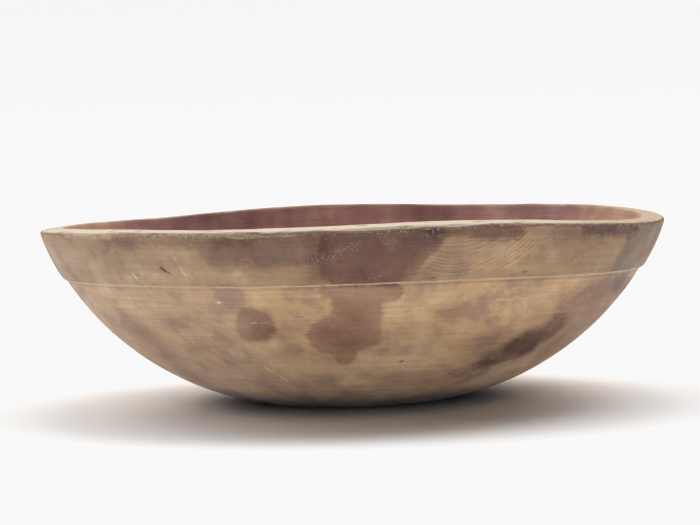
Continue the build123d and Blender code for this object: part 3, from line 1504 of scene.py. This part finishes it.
        # Painted light: the lower body gets a lighter tone, less of it behind
        around = self.math("ABSOLUTE", self.turn)
        painted_low_light_tone = self.remap(around, *wood.front_to_behind, wood.painted_low_light_tone, wood.painted_low_light_tone_behind)
        low = self.remap(self.past(Mark.STEP), *wood.low_to_body, painted_low_light_tone, wood.body_tone)
        band_change = wood.band_tone - wood.body_tone
        on_band = self.remap(self.past(Mark.BAND_FOOT), *wood.body_to_band, 0.0, band_change)
        colour = self.shaded(colour, self.math("ADD", low, on_band))
        colour = self.blend(colour, self.finish.figure.colour, self.figure(), "MULTIPLY")
        fine = self.scaled(self.grooves, wood.groove_tone, wood.even_tone)
        fine = self.scaled(self.lines, wood.line_tone, fine)
        fine = self.scaled(self.mottled(Mottle.FINE), wood.grain_tone, fine)
        colour = self.shaded(colour, fine)
        amount = self.remap(self.mottled(Mottle.SPOTS), *wood.pale_fleck_cover, 0.0, wood.pale_fleck_most)
        pale = self.flecks(wood.pale_fleck_length, wood.pale_fleck_width, amount)
        colour = self.blend(colour, wood.sand, pale)
        dark = self.flecks(wood.dark_fleck_length, wood.dark_fleck_width, wood.dark_fleck_amount)
        return self.blend(colour, wood.dark_fleck_colour, dark, "MULTIPLY")

    def inside_wood(self) -> Socket:
        """Colours the inside before its stains: red-brown, in upright streaks, and worn in places.

        Returns:
            The colour.
        """
        wood = self.finish.inside
        upright = self.streaked(self.point, wood.streak_waves)
        patches = self.product(self.mottled(Mottle.INSIDE), wood.patch_share)
        tone = self.scaled(upright, wood.streak_share, patches)
        colour = self.blend(wood.brown, wood.red, self.remap(tone, *wood.brown_to_red))
        colour = self.blend(colour, wood.worn, self.remap(tone, *wood.red_to_worn))
        deep = self.remap(self.past(Mark.RIM_INNER), *wood.scraped_down)
        scraped = self.product(deep, self.remap(tone, *wood.scraped_tone, *wood.scraped_share))
        colour = self.blend(colour, wood.scraped, scraped)
        years = self.scaled(self.growth(), wood.ring_tone, 1.0)
        return self.shaded(colour, self.scaled(self.lines, wood.line_tone, years))

    def rim_top(self, colour: Socket) -> Socket:
        """Lays scrubbed pale wood on the rim's top, with soil in its low spots.

        Args:
            colour: the colour so far.

        Returns:
            The colour with the rim's top.
        """
        rim = self.finish.rim
        scrubbed = self.blend(rim.cream, rim.tan, self.spread(TANNED_RIM))
        scrubbed = self.blend(scrubbed, rim.soiled, self.remap(self.mottled(Mottle.SOIL), *rim.soil))
        scrubbed = self.shaded(scrubbed, self.scaled(self.lines, rim.line_tone, 1.0))
        outer = self.remap(self.scaled(self.wobble, rim.ragged, self.past_rim), *rim.outer)
        past_inner = self.scaled(self.wobble, rim.ragged, self.past(Mark.RIM_INNER))
        inner = self.remap(past_inner, *rim.inner, 1.0, 0.0)
        return self.blend(colour, scrubbed, self.product(outer, inner))

    def rim_edge(self, colour: Socket) -> Socket:
        """Wears the rim's outer edge to crumbled wood with dirt in it, deeper where it wore most.

        Args:
            colour: the colour so far.

        Returns:
            The colour with the worn edge.
        """
        edge = self.finish.edge
        past = self.scaled(self.wobble, edge.ragged, self.past_rim)
        crumbs = self.mottled(Mottle.CRUMBS)
        yellow = self.spread(YELLOWED_RIM)
        crumbled = self.spread(CRUMBLED_RIM)
        reach = self.scaled(crumbled, edge.crumbled_reach, edge.least_reach)
        reach = self.scaled(yellow, edge.yellow_reach, reach)
        reach = self.scaled(self.worn, edge.worn_reach, reach)
        reach = self.scaled(crumbs, edge.crumb_reach, reach)
        reach = self.scaled(self.wear, edge.wear_reach, reach)
        above = self.math("ADD", past, reach)
        wood = self.blend(edge.plain, edge.dark, self.remap(crumbs, *edge.dark_crumbs))
        bared = self.math("MAXIMUM", crumbled, self.worn)
        bared = self.product(bared, self.remap(crumbs, *edge.pale_crumbs, edge.pale_share, 0.0))
        wood = self.blend(wood, edge.pale, bared)
        yellowed = self.product(yellow, self.remap(crumbs, *edge.yellow_crumbs, 1.0, edge.yellow_least))
        wood = self.blend(wood, edge.yellow, yellowed)
        fade_start = self.scaled(yellow, edge.yellow_fade, edge.fade[0])
        faded = self.remap(above, fade_start, self.math("ADD", yellow, edge.fade[1]))
        colour = self.blend(colour, wood, self.product(faded, self.remap(past, *edge.top, 1.0, 0.0)))
        colour = self.blend(colour, edge.dark, self.edge_dirt(past, yellow))
        chips = self.remap(self.mottled(Mottle.CHIPS), *edge.chips)
        chips = self.product(chips, self.near(above, *edge.chip_line, edge.chip_share))
        return self.blend(colour, self.finish.bare, chips)

    def edge_dirt(self, past: Socket, yellow: Socket) -> Socket:
        """Masks the dirt along the rim's outer edge.

        Args:
            past: how far a point lies past that edge, in millimetres.
            yellow: the mask of the yellowed stretch, which is cleaner.

        Returns:
            The mask, strongest on the dirt.
        """
        edge = self.finish.edge
        grimy = self.math("MAXIMUM", self.spread(SHARP_RIM), self.spread(SOILED_RIM))
        patchy = self.remap(self.mottled(Mottle.RUBBED), *edge.dirt_patches, *edge.dirt_share)
        patchy = self.math("MAXIMUM", patchy, self.product(grimy, edge.grimy_share))
        patchy = self.product(patchy, self.scaled(yellow, edge.yellow_clean, 1.0))
        return self.near(self.math("ADD", past, edge.dirt_below), *edge.dirt_line, patchy)

    def step_line(self, colour: Socket) -> Socket:
        """Rubs the band's lower edge to a pale line and paints a little shade in the crease below it.

        Args:
            colour: the colour so far.

        Returns:
            The colour with the line.
        """
        step, bare = self.finish.step, self.finish.bare
        past = self.scaled(self.wobble, step.ragged, self.past(Mark.BAND_FOOT))
        patchy = self.remap(self.mottled(Mottle.RUBBED), *step.patches, *step.patch_share)
        colour = self.blend(colour, bare, self.near(past, *step.line, patchy))
        chipped = self.remap(self.wear, *step.chip_wear, 0.0, step.chip_share)
        colour = self.blend(colour, bare, self.product(chipped, self.near(past, *step.chip_line)))
        # Painted shade: the crease under the band's edge is darkened
        crease = self.near(self.past(Mark.STEP), *step.crease, step.crease_share)
        return self.blend(colour, step.crease_shade, crease)

    def scuffed(self, colour: Socket) -> Socket:
        """Scatters pale specks where the surface was knocked.

        Args:
            colour: the colour so far.

        Returns:
            The colour with the specks.
        """
        marks = self.finish.marks
        specks = self.mottled(Mottle.SPECKS)
        scuffs = self.spread(SCUFFED)
        level = self.scaled(scuffs, marks.scuff_level, marks.speck_level)
        top = self.math("ADD", level, marks.speck_border)
        mask = self.remap(specks, level, top, 0.0, marks.speck_share)
        mask = self.product(mask, self.remap(self.past(Mark.RIM_OUTER), *marks.below_rim, 1.0, 0.0))
        colour = self.blend(colour, marks.pale, mask, "MULTIPLY")
        bared = self.product(mask, self.product(scuffs, marks.scuff_bare))
        return self.blend(colour, self.finish.bare, bared)

    def scratched(self, colour: Socket) -> tuple[Socket, Socket]:
        """Marks the wood with scratches and pits.

        Args:
            colour: the colour so far.

        Returns:
            The colour with the marks, and how deep they are, in millimetres.
        """
        marks = self.finish.marks
        dug: Value = 0.0
        for scratch in SCRATCHES:
            mark = Blot(scratch.turn, scratch.down, scratch.length / 2, scratch.width / 2, scratch.lean)
            mask = self.spread(Area((mark,), marks.scratch_soft, marks.scratch_ragged), scratch.face)
            if scratch.pale:
                faint = self.remap(self.cloud, *self.finish.clouds, marks.scratch_faintest, 1.0)
                colour = self.blend(colour, marks.pale, self.product(mask, faint), "MULTIPLY")
            else:
                colour = self.blend(colour, marks.dark, mask, "MULTIPLY")
            if scratch.depth:
                dug = self.scaled(mask, scratch.depth, dug)
        return colour, dug

    def relief(self, dug: Socket) -> Socket:
        """Gives the wood its fine relief: turning lines, grain and marks.

        Args:
            dug: how deep the marks are, in millimetres.

        Returns:
            The surface's direction.
        """
        relief = self.finish.relief
        grain = self.about_zero(self.mottled(Mottle.RELIEF))
        turned = self.scaled(self.lines, relief.lines, self.product(self.grooves, relief.grooves))
        rough = self.scaled(self.wear, relief.worn_grain, relief.grain)
        height = self.math("SUBTRACT", self.scaled(grain, rough, turned), dug)
        return self.add("Bump", {"Height": height, "Distance": MM, "Strength": 1.0}).outputs[0]


@dataclass(frozen=True)
class Lobe:
    """A soft light far off: where it comes from, its strength and how narrow it is."""

    comes_from: tuple[float, float, float]
    strength: float
    focus: float


@dataclass(frozen=True)
class Studio:
    """The pale floor, the soft light and the camera, in metres and radians."""

    camera_place: tuple[float, float, float] = (-0.00215, -1.5, 0.1755)
    camera_pitch: float = -0.057
    camera_roll: float = -0.027
    focal_pixels: float = 2288.0
    image_width: float = 700.0
    sensor_width: float = 36.0
    floor_size: float = 60.0
    floor_white: float = 0.9
    floor_roughness: float = 0.9
    lobes: tuple[Lobe, ...] = (
        Lobe((0.0, 0.0, 1.0), 1.7, 40.0),
        Lobe((0.37, 0.21, 0.9), 8.1, 30.0),
        Lobe((-0.37, 0.21, 0.9), 2.6, 30.0),
        Lobe((0.0, 0.42, 0.9), 6.7, 60.0),
        Lobe((0.5, 0.5, 0.7), 1.8, 18.0),
        Lobe((-0.5, 0.5, 0.7), 4.1, 18.0),
        Lobe((-0.7, 0.0, 0.7), 2.2, 18.0),
        Lobe((0.0, -1.0, 0.14), 1.45, 14.0),
    )
    horizon: float = 1.0
    paper_white: float = 0.945
    backdrop_fall: float = 0.7
    shoulder: float = 0.1

    def build(self) -> None:
        """Makes the floor, the light and the camera."""
        self._floor()
        self._sky()
        self._camera()
        self._exposure()

    def _floor(self) -> None:
        """Lays the floor."""
        deselect_all()
        bpy.ops.mesh.primitive_plane_add(size=self.floor_size)
        floor = bpy.context.object
        floor.name = "studio_floor"
        paint = bpy.data.materials.new("floor_paint")
        paint.use_nodes = True
        shader = paint.node_tree.nodes["Principled BSDF"]
        white = self.floor_white
        shader.inputs["Base Color"].default_value = (white, white, white, 1)
        shader.inputs["Roughness"].default_value = self.floor_roughness
        shader.inputs["Specular IOR Level"].default_value = 0.0
        floor.data.materials.append(paint)

    def _sky(self) -> None:
        """Lights the bowl from a dome of soft lights, with a plain backdrop that the camera sees."""
        world = bpy.data.worlds.new("soft_dome")
        bpy.context.scene.world = world
        world.use_nodes = True
        sheet = Sheet(world.node_tree)
        dome = world.node_tree.nodes["Background"]
        towards = sheet.add("TexCoord").outputs["Generated"]
        strength: Value = 0.0
        for lobe in self.lobes:
            axis = tuple(Vector(lobe.comes_from).normalized())
            facing = sheet.add("VectorMath", {0: towards, 1: axis}, operation="DOT_PRODUCT")
            ahead = sheet.math("MAXIMUM", facing.outputs["Value"], 0.0)
            strength = sheet.scaled(sheet.math("POWER", ahead, lobe.focus), lobe.strength, strength)
        height = sheet.parts(towards)[2]
        backdrop = sheet.scaled(height, -self.backdrop_fall, self.horizon)
        seen = sheet.add("LightPath").outputs["Is Camera Ray"]
        shown = sheet.add("Mix", {"Factor": seen, "A": strength, "B": backdrop})
        sheet.put(dome.inputs["Strength"], shown.outputs["Result"])
        dome.inputs["Color"].default_value = (1, 1, 1, 1)

    def _exposure(self) -> None:
        """Keeps colours as they are, but for the brightest, which stop at the paper's white."""
        settings = bpy.context.scene.view_settings
        settings.view_transform = "Standard"
        settings.look = "None"
        settings.use_curve_mapping = True
        settings.curve_mapping.extend = "HORIZONTAL"
        curve = settings.curve_mapping.curves[COMBINED_CURVE]
        curve.points[-1].location = (1.0, self.paper_white)
        bend = self.paper_white - self.shoulder
        curve.points.new(bend, bend)
        for point in curve.points:
            point.handle_type = "VECTOR"
        settings.curve_mapping.update()

    def _camera(self) -> None:
        """Stands the camera where the photograph was taken."""
        data = bpy.data.cameras.new("camera")
        data.sensor_width = self.sensor_width
        data.lens = self.focal_pixels / self.image_width * self.sensor_width
        camera = bpy.data.objects.new("camera", data)
        bpy.context.scene.collection.objects.link(camera)
        aim = Matrix.Rotation(math.pi / 2 + self.camera_pitch, 4, "X")
        roll = Matrix.Rotation(self.camera_roll, 4, "Z")
        camera.matrix_world = Matrix.Translation(self.camera_place) @ aim @ roll
        bpy.context.scene.camera = camera


def main() -> None:
    """Builds the bowl and its studio."""
    logging.basicConfig(level=logging.INFO, format="%(name)s: %(message)s")
    section = TurnedSection()
    drying = Drying()
    bowl = Bowl(section, drying).build()
    LOG.info("%s: %d faces", bowl.name, len(bowl.data.polygons))
    bowl.data.materials.append(WoodSheet(OldWood(), section, drying).dress())
    LOG.info("%s: dressed in old wood", bowl.name)
    Studio().build()


if __name__ == "__main__":
    main()
